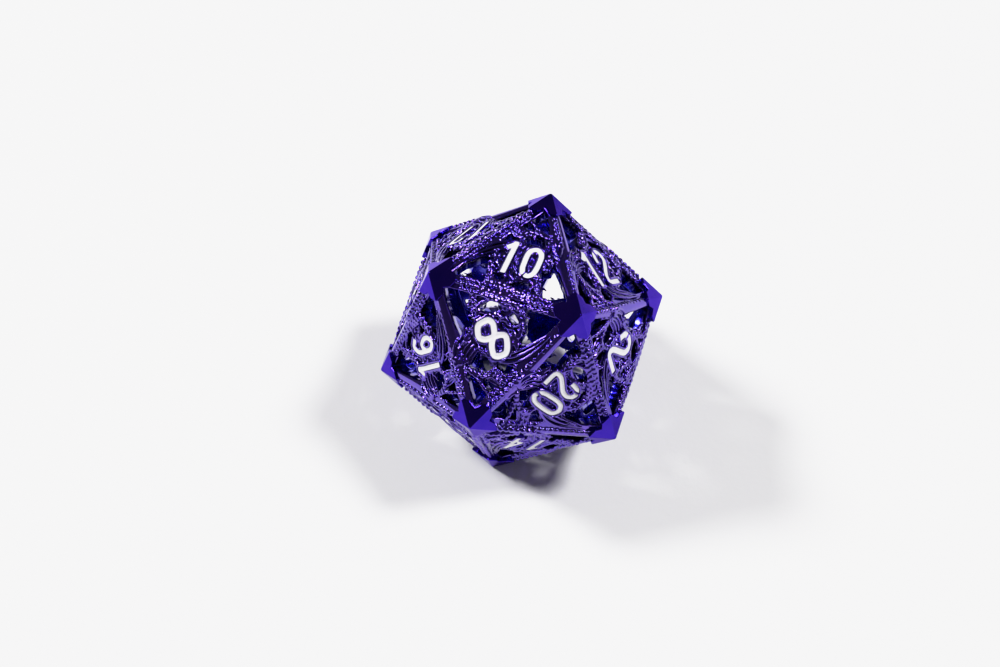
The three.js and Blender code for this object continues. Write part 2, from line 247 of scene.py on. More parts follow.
# Rows of beads: turn of the edge in degrees (0 is the base), distance from it, radius, part of the edge
BEAD_ROWS = [
    (0, 0.18, 0.26, -0.315, 0.315),
    (0, 0.63, 0.24, -0.3, -0.03),
    (120, 0.18, 0.26, -0.315, 0.315),
    (120, 0.66, 0.26, -0.298, 0.298),
    (240, 0.2, 0.25, 0.06, 0.315),
]
BEAD_PITCH = 0.52
BEAD_SHAPE = (1.1, 0.92, 0.9)       # its radii, as shares of its size
BEAD_SIZES = (0.9, 1.08)
BEAD_SPREAD = 0.018
BEAD_LIFT = 0.06
BEAD_TURN = (0.5, 0.2)              # radians from the edge: the middle and the spread
BEAD_TILT = 0.15
SMOOTH_EDGE = 150       # heading of the edge that has a smooth bar instead
SMOOTH_BAR = {"half_width": 0.52, "height": 0.27, "taper": 2.0}

# Centre lines of the digits, one unit high. A loop is closed.
SIX = [
    ([(0.2, 0.33), (0.03, 0.43), (-0.2, 0.25), (-0.2, -0.12)], False),
    ([(0, -0.42), (0.21, -0.27), (0.21, -0.08), (0.02, 0.09), (-0.2, -0.06), (-0.2, -0.27)], True),
]
DIGITS = {
    0: [([(0, 0.43), (0.24, 0.3), (0.24, -0.28), (0.06, -0.42), (-0.2, -0.3), (-0.24, 0.3)], True)],
    1: [([(0.03, 0.42), (0.01, -0.42)], False), ([(-0.13, 0.3), (0.03, 0.41)], False)],
    2: [([(-0.21, 0.19), (-0.19, 0.33), (-0.02, 0.43), (0.12, 0.41), (0.22, 0.28), (0.19, 0.12), (0, -0.05),
          (-0.2, -0.23), (-0.22, -0.42), (0.23, -0.42)], False)],
    3: [([(-0.22, 0.42), (0.2, 0.42), (-0.03, 0.1), (0.2, -0.08), (0.2, -0.28), (0, -0.42), (-0.22, -0.28)],
         False)],
    4: [([(0.1, -0.42), (0.1, 0.42)], False), ([(0.1, 0.38), (-0.22, -0.14), (0.25, -0.14)], False)],
    5: [([(0.2, 0.42), (-0.18, 0.42), (-0.18, 0.06), (0.06, 0.11), (0.21, -0.04), (0.2, -0.28), (0, -0.42),
          (-0.2, -0.3)], False)],
    6: SIX,
    7: [([(-0.22, 0.25), (-0.2, 0.42), (0.22, 0.42), (-0.08, -0.43)], False)],
    8: [
        ([(-0.02, 0.43), (0.21, 0.36), (0.24, 0.22), (0.1, 0.04), (0.02, 0.01), (-0.15, 0.1), (-0.21, 0.22),
          (-0.11, 0.36)], True),
        ([(0.03, 0.02), (0.22, -0.09), (0.24, -0.19), (0.1, -0.36), (-0.03, -0.43), (-0.2, -0.35),
          (-0.24, -0.27), (-0.13, -0.09)], True),
    ],
    9: [([(-x, -y) for x, y in points], closed) for points, closed in SIX],
}
MARK = [([(-0.16, 0), (0.16, 0)], False)]

# Gaps that break the strokes of a digit, from one point to another
SLITS = {
    0: [((-0.14, -0.5), (-0.03, -0.25))],
    2: [((-0.1, 0.5), (-0.04, 0.3))],
}


# ---- The icosahedron ----

def vertex(name):
    """A corner of the die, measured from its centre."""
    radius, height = RINGS[name[0]]
    angle = math.radians(int(name[1:]))
    return np.array([radius * math.cos(angle), radius * math.sin(angle), height])


def unit(vector):
    return vector / np.linalg.norm(vector)


def face_axes(number):
    """The rows right, up and outwards of a face's frame, and its origin."""
    corners = [vertex(name) for name in FACES[number][:3]]
    middle = sum(corners) / 3
    up = unit(corners[0] - middle)
    outwards = unit(middle)
    return np.array([np.cross(up, outwards), up, outwards]), middle + CENTRE


def on_face(points, number):
    """Points from a face's frame to the frame of the die."""
    axes, origin = face_axes(number)
    return points @ axes + origin


def turned(points, degrees):
    """Points turned about +Z."""
    c, s = math.cos(math.radians(degrees)), math.sin(math.radians(degrees))
    out = np.array(points, float)
    x, y = out[..., 0].copy(), out[..., 1].copy()
    out[..., 0] = c * x - s * y
    out[..., 1] = s * x + c * y
    return out


def smooth_line(points, steps=6):
    """A Catmull-Rom curve through the points."""
    p = np.array(points, float)
    p = np.vstack([2 * p[0] - p[1], p, 2 * p[-1] - p[-2]])
    t = np.linspace(0, 1, steps, endpoint=False)[:, None]
    pieces = [
        0.5 * (2 * b + (c - a) * t + (2 * a - 5 * b + 4 * c - d) * t**2 + (3 * b - a - 3 * c + d) * t**3)
        for a, b, c, d in zip(p, p[1:], p[2:], p[3:])
    ]
    return np.vstack([*pieces, p[-2]])


def even_line(points, pitch):
    """Points a pitch apart along a line, with the heading at each."""
    steps = np.diff(points, axis=0)
    along = np.concatenate([[0], np.cumsum(np.hypot(*steps.T))])
    places = np.arange(pitch / 2, along[-1], pitch)
    x, y = (np.interp(places, along, points[:, k]) for k in (0, 1))
    index = np.clip(np.searchsorted(along, places) - 1, 0, len(steps) - 1)
    return np.stack([x, y], 1), np.arctan2(steps[index, 1], steps[index, 0])


# ---- Distances in a plane ----

def segment_distance(x, y, a, b):
    """From points to a straight segment, and how far along it the nearest point is, from 0 to 1."""
    dx, dy = b[0] - a[0], b[1] - a[1]
    along = np.clip(((x - a[0]) * dx + (y - a[1]) * dy) / (dx * dx + dy * dy), 0, 1)
    return np.hypot(x - a[0] - along * dx, y - a[1] - along * dy), along


def polygon_distance(x, y, points):
    """Signed distance to a closed outline, negative inside it."""
    distance = np.full(x.shape, 1e3)
    inside = np.zeros(x.shape, bool)
    for a, b in zip(points, np.roll(points, -1, axis=0)):
        distance = np.minimum(distance, segment_distance(x, y, a, b)[0])
        crosses = (a[1] > y) != (b[1] > y)
        rise = b[1] - a[1] or 1e-9
        inside ^= crosses & (x < a[0] + (y - a[1]) / rise * (b[0] - a[0]))
    return np.where(inside, -distance, distance)


def line_distance(x, y, points):
    """From points to an open line."""
    return np.minimum.reduce([segment_distance(x, y, a, b)[0] for a, b in zip(points, points[1:])])


def one_edge_distance(x, y, degrees):
    """How far inside one edge of the face. The edge lies at this heading from the middle."""
    return FACE_IN_RADIUS - math.cos(math.radians(degrees)) * x - math.sin(math.radians(degrees)) * y


def edge_distance(x, y):
    """How far inside the nearest edge of the face."""
    return np.minimum.reduce([one_edge_distance(x, y, degrees) for degrees in (-90, 30, 150)])


def soft_min(a, b, blend):
    mix = np.clip(0.5 + 0.5 * (b - a) / blend, 0, 1)
    return b * (1 - mix) + a * mix - blend * mix * (1 - mix)


def soft_max(a, b, blend):
    return -soft_min(-a, -b, blend)


def ripple(x, y, wavelength, random):
    """A smooth uneven wave between about -1 and 1."""
    total = 0
    for _ in range(RIPPLES):
        angle, phase = random.uniform(0, 2 * math.pi, 2)
        scale = 2 * math.pi / (wavelength * random.uniform(0.7, 1.4))
        total = total + np.sin((math.cos(angle) * x + math.sin(angle) * y) * scale + phase)
    return total / (RIPPLES / 2)


# ---- A block of distances, and the surface through it ----

class Block:
    """Signed distances on a grid, negative inside the metal."""

    def __init__(self, low, high, step):
        self.low = np.array(low, float)
        self.step = step
        count = np.ceil((np.array(high) - self.low) / step).astype(int) + 1
        self.axes = [self.low[k] + step * np.arange(count[k]) for k in range(3)]
        self.value = np.full(count, 1.0, np.float32)

    def plane(self):
        return np.meshgrid(self.axes[0], self.axes[1], indexing="ij")

    def near(self, low, high):
        """The part of the grid inside a box, and its coordinates."""
        first = np.floor((np.array(low) - self.low) / self.step).astype(int)
        last = np.ceil((np.array(high) - self.low) / self.step).astype(int) + 1
        cut = tuple(slice(max(a, 0), max(min(b, n), 0)) for a, b, n in zip(first, last, self.value.shape))
        x, y, z = (axis[c] for axis, c in zip(self.axes, cut))
        return cut, x[:, None, None], y[None, :, None], z[None, None, :]

    def add(self, cut, distance, blend):
        self.value[cut] = soft_min(self.value[cut], distance, blend)

    def add_drop(self, centre, radii, heading=0, tilt=0, blend=0.04):
        """An ellipsoid, longest along its heading, tilted up at its front end."""
        reach = max(radii) + MARGIN["drop"]
        cut, x, y, z = self.near([c - reach for c in centre], [c + reach for c in centre])
        x, y, z = x - centre[0], y - centre[1], z - centre[2]
        c, s = math.cos(heading), math.sin(heading)
        along, across = c * x + s * y, c * y - s * x
        ct, st = math.cos(tilt), math.sin(tilt)
        along, height = ct * along + st * z, ct * z - st * along
        ratio = np.sqrt((along / radii[0]) ** 2 + (across / radii[1]) ** 2 + (height / radii[2]) ** 2)
        self.add(cut, (ratio - 1) * min(radii), blend)

    def add_ridge(self, points, start, end, blend=0.05):
        """A round ridge along points in space, from one radius to another."""
        radii = np.linspace(start, end, len(points))
        reach = max(start, end) + MARGIN["ridge"]
        for a, b, ra, rb in zip(points, points[1:], radii, radii[1:]):
            cut, x, y, z = self.near(np.minimum(a, b) - reach, np.maximum(a, b) + reach)
            step = b - a
            along = ((x - a[0]) * step[0] + (y - a[1]) * step[1] + (z - a[2]) * step[2]) / (step @ step)
            along = np.clip(along, 0, 1)
            gap = [axis - a[k] - along * step[k] for k, axis in enumerate((x, y, z))]
            distance = np.sqrt(gap[0] ** 2 + gap[1] ** 2 + gap[2] ** 2) - (ra + (rb - ra) * along)
            self.add(cut, distance, blend)


def surface(block):
    """Points and four-sided faces of the surface where a block's distance is zero."""
    value = block.value
    inside = value < 0
    n = np.array(value.shape) - 1
    corners = [(i, j, k) for i in (0, 1) for j in (0, 1) for k in (0, 1)]
    count = sum(inside[i:n[0] + i, j:n[1] + j, k:n[2] + k].astype(np.int8) for i, j, k in corners)
    cells = np.argwhere((count > 0) & (count < 8))
    at = {c: value[cells[:, 0] + c[0], cells[:, 1] + c[1], cells[:, 2] + c[2]] for c in corners}
    total = np.zeros((len(cells), 3))
    crossings = np.zeros(len(cells))
    for a in corners:
        for axis in range(3):
            if a[axis]:
                continue
            b = tuple(1 if k == axis else a[k] for k in range(3))
            crosses = (at[a] < 0) != (at[b] < 0)
            part = at[a] / np.where(crosses, at[a] - at[b], 1)
            point = np.repeat(np.array(a, float)[None], len(cells), 0)
            point[:, axis] = part
            total += point * crosses[:, None]
            crossings += crosses
    points = (cells + total / crossings[:, None]) * block.step + block.low
    index = np.full(n, -1, np.int32)
    index[tuple(cells.T)] = np.arange(len(cells))
    faces = []
    for axis in range(3):
        u, v = (axis + 1) % 3, (axis + 2) % 3
        first = [slice(1, -1)] * 3
        first[axis] = slice(0, -1)
        second = list(first)
        second[axis] = slice(1, None)
        start, end = inside[tuple(first)], inside[tuple(second)]
        base = np.argwhere(start != end)
        leaving = start[tuple(base.T)]
        base[:, u] += 1
        base[:, v] += 1
        quad = []
        for du, dv in ((-1, -1), (0, -1), (0, 0), (-1, 0)):
            cell = base.copy()
            cell[:, u] += du
            cell[:, v] += dv
            quad.append(index[tuple(cell.T)])
        quad = np.stack(quad, 1)
        faces.append(np.where(leaving[:, None], quad, quad[:, ::-1]))
    return points, np.vstack(faces)


def relaxed(points, faces):
    """The points moved half way to the middle of their neighbours, which takes the grid's steps away."""
    a = np.concatenate([faces[:, k] for k in range(4)])
    b = np.concatenate([faces[:, (k + 1) % 4] for k in range(4)])
    total = np.stack([np.bincount(a, points[b, k], len(points)) for k in range(3)], 1)
    count = np.bincount(a, minlength=len(points))[:, None]
    return points + RELAX * (total / count - points)


# ---- The web pattern, the same on all faces ----

def hole_distance(x, y, random):
    """Signed distance to the holes in the web, negative inside them. Their borders are a little uneven."""
    distance = np.full(x.shape, 1e3)
    for outline in HOLES:
        distance = np.minimum(distance, polygon_distance(x, y, np.array(outline) * EDGE))
    ring = RING_HOLE
    px, py = x / EDGE - ring["x"], y / EDGE - ring["y"]
    c, s = math.cos(math.radians(ring["tilt"])), math.sin(math.radians(ring["tilt"]))
    ratio = np.hypot((c * px + s * py) / ring["long"], (c * py - s * px) / ring["short"])
    distance = np.minimum(distance, (ratio - 1) * ring["short"] * EDGE)
    height, length = WAVES["hole"]
    return distance + height * ripple(x, y, length, random)


def bar_height(x, y):
    """The round bar along the smooth edge, wide in the middle and narrower at both ends."""
    along = -math.sin(math.radians(SMOOTH_EDGE)) * x + math.cos(math.radians(SMOOTH_EDGE)) * y
    half = SMOOTH_BAR["half_width"] * np.clip(1 - SMOOTH_BAR["taper"] * (along / EDGE) ** 2, 0.1, 1)
    across = (one_edge_distance(x, y, SMOOTH_EDGE) - half) / half
    height = WEB_TOP + SMOOTH_BAR["height"] * np.sqrt(np.clip(1 - across**2, 0, 1))
    return np.where(np.abs(across) < 1, height, WEB_BOTTOM)


def ground_height(x, y, holes, random):
    """The top of the web before beads, scales and ridges."""
    edge = edge_distance(x, y)
    wave, length = WAVES["web"]
    ground = WEB_TOP + wave * ripple(x, y, length, random)
    for line, width, height, _ in BANDS:
        across = line_distance(x, y, smooth_line(line) * EDGE) / (width / 2)
        ground = np.maximum(ground, WEB_TOP + height * np.sqrt(np.clip(1 - across**2, 0, 1)))
    lip = LIP["height"] * np.exp(-(((holes - LIP["offset"]) / LIP["width"]) ** 2))
    slope = CREST + CREST_SLOPE * edge + OUTER_SLOPE * np.minimum(edge, 0)
    ground = soft_min(slope, ground, CREST_BLEND) + lip
    return np.maximum(ground, bar_height(x, y))


def sample(block, plane, x, y):
    """The value of a plane of numbers at a place."""
    i = np.clip(np.rint((x - block.low[0]) / block.step).astype(int), 0, plane.shape[0] - 1)
    j = np.clip(np.rint((y - block.low[1]) / block.step).astype(int), 0, plane.shape[1] - 1)
    return plane[i, j]


def add_edge_beads(block, ground, random):
    """Rows of beads along the edges of the face. Each row starts half a bead after the one before."""
    for row, (degrees, from_edge, radius, first, last) in enumerate(BEAD_ROWS):
        for along in np.arange(first * EDGE + row % 2 * BEAD_PITCH / 2, last * EDGE, BEAD_PITCH):
            x, y = turned((along, from_edge - FACE_IN_RADIUS, 0), degrees)[:2]
            x, y = (x, y) + random.normal(0, BEAD_SPREAD, 2)
            size = radius * random.uniform(*BEAD_SIZES)
            radii = [size * share for share in BEAD_SHAPE]
            z = min(sample(block, ground, x, y) + BEAD_LIFT, -radii[2])
            heading = math.radians(degrees) + random.normal(*BEAD_TURN)
            block.add_drop((x, y, z), radii, heading, BEAD_TILT)


def add_band_scales(block, ground, holes, random):
    """Overlapping scales on the raised bands."""
    for line, width, _, rows in BANDS:
        row_gap = SCALE_ROWS * width / rows
        places, headings = even_line(smooth_line(line) * EDGE, SCALE_PITCH)
        for row in range(rows):
            shift = (row - (rows - 1) / 2) * row_gap
            step = SCALE_PITCH / 2 * (row % 2)
            for (x, y), heading in zip(places, headings):
                x += -math.sin(heading) * shift + math.cos(heading) * step
                y += math.cos(heading) * shift + math.sin(heading) * step
                if sample(block, holes, x, y) < SCALE["room"]:
                    continue
                size = random.uniform(*SCALE["sizes"])
                z = sample(block, ground, x, y) + SCALE["lift"]
                half_width = min(SCALE["share"] * row_gap, SCALE["wide"])
                radii = (SCALE["long"] * size, half_width * size, SCALE["high"] * size)
                turn = random.normal(0, SCALE["spread"])
                block.add_drop((x, y, z), radii, heading + turn, SCALE["tilt"])


def add_grains(block, ground, holes, random):
    """Small round grains that fill the web between the other shapes."""
    x, y = block.plane()
    lines = [smooth_line(line) * EDGE for line, *_ in FAN + SWEEPS + TENDRILS[:3]]
    clear = np.minimum.reduce([line_distance(x, y, line) for line in lines]) - GRAIN_CLEAR["ridge"]
    for line, width, *_ in BANDS:
        clear = np.minimum(clear, line_distance(x, y, smooth_line(line) * EDGE) - BAND_CLEAR * width)
    clear = np.minimum(clear, one_edge_distance(x, y, SMOOTH_EDGE) - BAR_CLEAR * SMOOTH_BAR["half_width"])
    clear = np.minimum(clear, edge_distance(x, y) - GRAIN_CLEAR["edge"])
    clear = np.minimum(clear, holes - GRAIN_CLEAR["hole"])
    (left, right), (bottom, top) = GRAIN_SPAN
    for row, y in enumerate(np.arange(bottom * EDGE, top * EDGE, GRAIN_ROWS * GRAIN_PITCH)):
        for x in np.arange(left * EDGE, right * EDGE, GRAIN_PITCH) + GRAIN_PITCH / 2 * (row % 2):
            px, py = (x, y) + random.normal(0, GRAIN_SPREAD, 2)
            size = random.uniform(*GRAIN_SIZE)
            if sample(block, clear, px, py) > 0:
                z = sample(block, ground, px, py)
                block.add_drop((px, py, z), (size, size, size * GRAIN_HEIGHT))


def add_ridges(block, ground):
    """The smooth fan, sweeps and tendrils, the ring around the round hole, and small balls."""
    for line, start, end, lift in FAN + SWEEPS + TENDRILS:
        flat = smooth_line(line, 5) * EDGE
        height = np.array([sample(block, ground, x, y) for x, y in flat])
        height = np.minimum(np.maximum(height, RIDGE_LOWEST) + lift, -max(start, end))
        block.add_ridge(np.column_stack([flat, height]), start, end)
    ring = RING_HOLE
    angles = np.linspace(0, 2 * math.pi, 25)
    flat = np.stack([
        (ring["long"] * EDGE + RING_WIDTH) * np.cos(angles),
        (ring["short"] * EDGE + RING_WIDTH) * np.sin(angles),
    ], 1)
    flat = turned(flat, ring["tilt"]) + np.array([ring["x"], ring["y"]]) * EDGE
    block.add_ridge(np.column_stack([flat, np.full(len(flat), WEB_TOP + RING_LIFT)]), RING_WIDTH, RING_WIDTH)
    for x, y, radius in BALLS:
        x, y = x * EDGE, y * EDGE
        block.add_drop((x, y, sample(block, ground, x, y) + BALL_LIFT), (radius,) * 3)


def web_pattern():
    """The metal of a face without a number."""
    random = np.random.default_rng(SEED)
    (left, right), (bottom, top) = BLOCK_SPAN
    block = Block((left * EDGE, bottom * EDGE, WEB_BOTTOM - 0.15), (right * EDGE, top * EDGE, 0.12), GRID)
    x, y = block.plane()
    holes = hole_distance(x, y, random)
    ground = ground_height(x, y, holes, random)
    z = block.axes[2][None, None, :]
    body = soft_max(z - ground[:, :, None], -holes[:, :, None], HOLE_ROUNDING)
    block.value = np.maximum(body, WEB_BOTTOM - z).astype(np.float32)
    add_grains(block, ground, holes, random)
    add_band_scales(block, ground, holes, random)
    add_edge_beads(block, ground, random)
    block.value = np.maximum(block.value, -holes[:, :, None] - HOLE_MARGIN).astype(np.float32)
    add_ridges(block, ground)
    return block


# ---- Numbers ----

def rounded(points, closed, rounds=2):
    """A line with its turns cut off twice over. An open line keeps its ends."""
    points = np.array(points, float)
    for _ in range(rounds):
        after = np.roll(points, -1, axis=0) if closed else points[1:]
        before = points if closed else points[:-1]
        near, far = 1 - CORNER_CUT, CORNER_CUT
        cut = np.stack([near * before + far * after, far * before + near * after], 1).reshape(-1, 2)
        points = cut if closed else np.vstack([points[0], cut[1:-1], points[-1]])
    return points


def glyphs_of(number):
    """The glyphs of a number. Each has a node name, and in millimetres on the face its strokes, slits and
    half the stroke's width."""
    def glyph(name, digit, x, y, height, squeeze, stroke):
        scale = np.array([height * squeeze, height])
        lines = MARK if digit is None else DIGITS[digit]
        strokes = [(rounded(points, closed) * scale + (x, y), closed) for points, closed in lines]
        slits = [np.array(ends) * scale + (x, y) for ends in SLITS.get(digit, [])]
        return name, strokes, slits, stroke * height / 2

    name = f"enamel_{number}"
    if number > 9:
        offset = DIGIT_PITCH * DIGIT_HEIGHT / 2
        places = [("_tens", number // 10, -offset), ("_units", number % 10, offset)]
        return [glyph(name + end, digit, x, 0, DIGIT_HEIGHT, PAIR_SQUEEZE, PAIR_STROKE)
                for end, digit, x in places]
    glyphs = [glyph(name, number, 0, 0, SINGLE_HEIGHT, 1, STROKE)]
    if number in (6, 9):
        glyphs.append(glyph(name + "_mark", None, 0, MARK_LINE * SINGLE_HEIGHT, SINGLE_HEIGHT, 1, STROKE))
    return glyphs


def stroke_distance(x, y, strokes, slits, half):
    """Signed distance to the strokes of a glyph. Their ends are square, their turns round."""
    distance = np.full(x.shape, 1e3)
    for points, closed in strokes:
        ring = np.vstack([points, points[:1]]) if closed else points
        last = len(ring) - 2
        for k, (a, b) in enumerate(zip(ring, ring[1:])):
            heading = unit(b - a)
            part = segment_distance(x, y, a, b)[0] - half
            if not closed and k in (0, last):
                grown_a = a - heading * half * (k == 0)
                grown_b = b + heading * half * (k == last)
                middle, length = (grown_a + grown_b) / 2, np.linalg.norm(grown_b - grown_a) / 2
                along = np.abs((x - middle[0]) * heading[0] + (y - middle[1]) * heading[1]) - length
                across = np.abs((y - middle[1]) * heading[0] - (x - middle[0]) * heading[1]) - half
                outside = np.hypot(np.maximum(along, 0), np.maximum(across, 0))
                part = np.minimum(part, outside + np.minimum(np.maximum(along, across), 0))
            distance = np.minimum(distance, part)
    for a, b in slits:
        distance = np.maximum(distance, SLIT * DIGIT_HEIGHT - segment_distance(x, y, a, b)[0])
    return distance


def add_number(value, block, number):
    """Cuts the channels of a number into a copy of the web pattern, with a rim around each stroke."""
    x, y = block.plane()
    face_x, face_y = turned(np.stack([x, y], -1), 120 * FACES[number][3]).transpose(2, 0, 1)
    strokes = np.full(x.shape, 1e3)
    counters = np.full(x.shape, 1e3)
    for _, lines, slits, half in glyphs_of(number):
        strokes = np.minimum(strokes, stroke_distance(face_x, face_y, lines, slits, half))
        for points, closed in lines:
            if closed:
                counters = np.minimum(counters, polygon_distance(face_x, face_y, points))
    z = block.axes[2][None, None, :]
    strokes, counters = strokes[:, :, None], counters[:, :, None]
    clear = np.maximum(strokes - RIM_WIDTH, WEB_TOP - z)
    value = np.maximum(value, -clear)
    floor = soft_max(z - WEB_TOP - COUNTER_LIFT, counters, COUNTER_ROUNDING)
    value = np.minimum(value, np.maximum(floor, NUMBER_BOTTOM - z))
    rim = soft_max(z - RIM_TOP, strokes - RIM_WIDTH, RIM_ROUNDING)
    value = np.minimum(value, np.maximum(rim, NUMBER_BOTTOM - z))
    channel = np.maximum(strokes, CHANNEL_FLOOR - z)
    return np.maximum(value, -channel)


def cut_to_face(value, block):
    """Keeps a panel on its own side of the planes to its neighbours, with more room for the beads on top."""
    x, y = block.plane()
    edge = edge_distance(x, y)[:, :, None]
    z = block.axes[2][None, None, :]
    past = (edge + WEDGE * z) / math.hypot(1, WEDGE)
    grown = np.clip((z - CREST + BEAD_ROOM["below_crest"]) / BEAD_ROOM["height"], 0, 1)
    room = MEETING + (BEAD_REACH - MEETING) * grown
    return np.maximum(value, -past - room)


def without_specks(value):
    """Takes out specks of metal and fills pores that are one or two grid points big."""
    inside = value < 0
    neighbours = np.zeros(value.shape, np.int8)
    for axis in range(3):
        for shift in (1, -1):
            neighbours += np.roll(inside, shift, axis)
    value = np.where(inside & (neighbours < 2), SPECK, value)
    return np.where(~inside & (neighbours > 4), -SPECK, value)


# ---- Pieces ----

def new_piece(name, points, faces, material):
    """A mesh object from points in millimetres and faces with the same number of corners."""
    mesh = bpy.data.meshes.new(name)
    sides = faces.shape[1]
    mesh.vertices.add(len(points))
    mesh.vertices.foreach_set("co", (points * MM).astype(np.float32).ravel())
    mesh.loops.add(faces.size)
    mesh.loops.foreach_set("vertex_index", faces.astype(np.int32).ravel())
    mesh.polygons.add(len(faces))
    mesh.polygons.foreach_set("loop_start", np.arange(0, faces.size, sides, dtype=np.int32))
    mesh.update(calc_edges=True)
    mesh.validate()
    mesh.materials.append(material)
    piece = bpy.data.objects.new(name, mesh)
    bpy.context.collection.objects.link(piece)
    return piece


def apply_modifiers(piece):
    depsgraph = bpy.context.evaluated_depsgraph_get()
    mesh = bpy.data.meshes.new_from_object(piece.evaluated_get(depsgraph))
    piece.modifiers.clear()
    piece.data = mesh


def join_frame(piece, node):
    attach(piece, "root")
    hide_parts(node)


def depth_below(block, points):
    """How deep each point lies below the web's outer surface, levelled out over its surroundings."""
    metal = block.value < 0
    top = block.axes[2][len(block.axes[2]) - 1 - np.argmax(metal[:, :, ::-1], axis=2)]
    top = np.where(metal.any(axis=2), np.maximum(top, LEVEL_LOWEST), WEB_TOP)
    for _ in range(LEVELLING):
        top[1:-1, 1:-1] = (top[:-2, 1:-1] + top[2:, 1:-1] + top[1:-1, :-2] + top[1:-1, 2:]) / 4
    return sample(block, top, points[:, 0], points[:, 1]) - points[:, 2]


def make_panels(material):
    block = web_pattern()
    pattern = block.value
    for number, face in FACES.items():
        block.value = without_specks(cut_to_face(add_number(pattern, block, number), block))
        points, faces = surface(block)
        depth = depth_below(block, points)
        points = on_face(turned(points, 120 * face[3]), number)
        piece = new_piece(f"web_{number}", relaxed(points, faces), faces, material)
        # Depth below the outer surface, which places the painted shade and painted blue reflection in the
        # metal's colour.
        attribute = piece.data.attributes.new("depth", "FLOAT", "POINT")
        attribute.data.foreach_set("value", depth.astype(np.float32))
        piece.data.shade_smooth()
        join_frame(piece, "upper_shell" if number in UPPER_FACES else "lower_shell")


def make_enamel(material):
    for number in FACES:
        for name, strokes, slits, half in glyphs_of(number):
            ends = np.vstack([points for points, _ in strokes])
            low, high = ends.min(0) - half - 4 * ENAMEL_GRID, ends.max(0) + half + 4 * ENAMEL_GRID
            block = Block((*low, CHANNEL_FLOOR - 2 * ENAMEL_GRID), (*high, 2 * ENAMEL_GRID), ENAMEL_GRID)
            x, y = block.plane()
            distance = stroke_distance(x, y, strokes, slits, half) + ENAMEL_GAP
            inside = np.clip(-distance / (half * ENAMEL_DISH["reach"]), 0, 1)
            dish = ENAMEL_DISH["depth"] * inside ** ENAMEL_DISH["power"]
            top = (ENAMEL_TOP - dish)[:, :, None]
            z = block.axes[2][None, None, :]
            body = soft_max(z - top, distance[:, :, None], ENAMEL_ROUNDING)
            block.value = np.maximum(body, ENAMEL_BOTTOM - z).astype(np.float32)
            points, faces = surface(block)
            piece = new_piece(name + "_fill", on_face(points, number), faces, material)
            piece.data.shade_smooth()
            join_frame(piece, name)


def tip_mesh(name):
    """The star of smooth facets over one corner of the die: points and faces."""
    top = vertex(name)
    around = []
    for number, (*corners, _) in FACES.items():
        if name in corners:
            middle = sum(vertex(c) for c in corners) / 3
            sides = [c for c in corners if c != name]
            if np.linalg.det([top, vertex(sides[0]), vertex(sides[1])]) < 0:
                sides.reverse()
            around.append((sides, middle))
    rim, inner, facets = [], [], []
    order = [around[0]]
    while len(order) < len(around):
        order.append(next(face for face in around if face[0][0] == order[-1][0][1]))
    for (first, second), middle in order:
        outwards, inwards = unit(middle), unit(middle - top)
        across = unit(np.cross(outwards, inwards))
        edge_point = top + unit(vertex(first) - top) * TIP_REACH
        border = [
            (edge_point, unit(top + vertex(first))),
            (top + inwards * TIP_BORDER - across * NOTCH_WIDTH, outwards),
            (top + inwards * TIP_NOTCH, outwards),
            (top + inwards * TIP_BORDER + across * NOTCH_WIDTH, outwards),
        ]
        facets.append([len(rim) + k for k in range(len(border) + 1)])
        for point, normal in border:
            rim.append(point)
            inner.append(point - normal * TIP_DEPTH)
    count = len(rim)
    points = [top, *rim, *inner, top - unit(top) * TIP_ROOT]
    faces = [[0, *(1 + k % count for k in facet)] for facet in facets]
    for k in range(count):
        after = (k + 1) % count
        faces.append([1 + after, 1 + k, 1 + count + k, 1 + count + after])
        faces.append([1 + count + after, 1 + count + k, 2 * count + 1])
    return np.array(points) + CENTRE, faces


def make_tips(material):
    """Four pieces of three tips, one for each ring of corners."""
    rings = {"T": "tips_top", "H": "tips_high", "L": "tips_low", "B": "tips_base"}
    for ring, name in rings.items():
        points, faces = [], []
        for corner in VERTICES:
            if corner[0] == ring:
                tip_points, tip_faces = tip_mesh(corner)
                faces += [[len(points) + k for k in face] for face in tip_faces]
                points += [tuple(p * MM) for p in tip_points]
        mesh = bpy.data.meshes.new(name)
        mesh.from_pydata(points, [], faces)
        mesh.validate()
        mesh.materials.append(material)
        piece = bpy.data.objects.new(name, mesh)
        bpy.context.collection.objects.link(piece)
        bevel = piece.modifiers.new("rounded edges", "BEVEL")
        bevel.width = TIP_BEVEL * MM
        bevel.segments = 3
        bevel.limit_method = "ANGLE"
        bevel.angle_limit = math.radians(20)
        bevel.harden_normals = True
        apply_modifiers(piece)
        join_frame(piece, "upper_shell" if ring in "TH" else "lower_shell")


# ---- Materials ----

VIOLETS = [(0.3, (0.026, 0.009, 0.32)), (0.55, (0.038, 0.013, 0.35)), (0.75, (0.052, 0.02, 0.38))]

# Painted shade by depth, in the metal's colour: millimetres below the outer surface where a painted colour
# starts and where it is in full, and the colour. The first paints shade into the recesses between the beads,
# the second paints the deep blue reflection inside the cage.
PAINTED_SHADE_BY_DEPTH = [
    ((-0.02, 0.13), (0.012, 0.003, 0.09)),
    ((0.35, 0.8), (0.009, 0.005, 0.43)),
]


def new_material(name):
    material = bpy.data.materials.new(name)
    material.use_nodes = True
    nodes, links = material.node_tree.nodes, material.node_tree.links
    return material, nodes, links, nodes["Principled BSDF"]


def noise(nodes, links, scale, detail=3.0, roughness=0.55):
    """Noise over the object's own coordinates."""
    place = nodes.new("ShaderNodeTexCoord")
    texture = nodes.new("ShaderNodeTexNoise")
    texture.inputs["Scale"].default_value = scale
    texture.inputs["Detail"].default_value = detail
    texture.inputs["Roughness"].default_value = roughness
    links.new(place.outputs["Object"], texture.inputs["Vector"])
    return texture.outputs["Fac"]


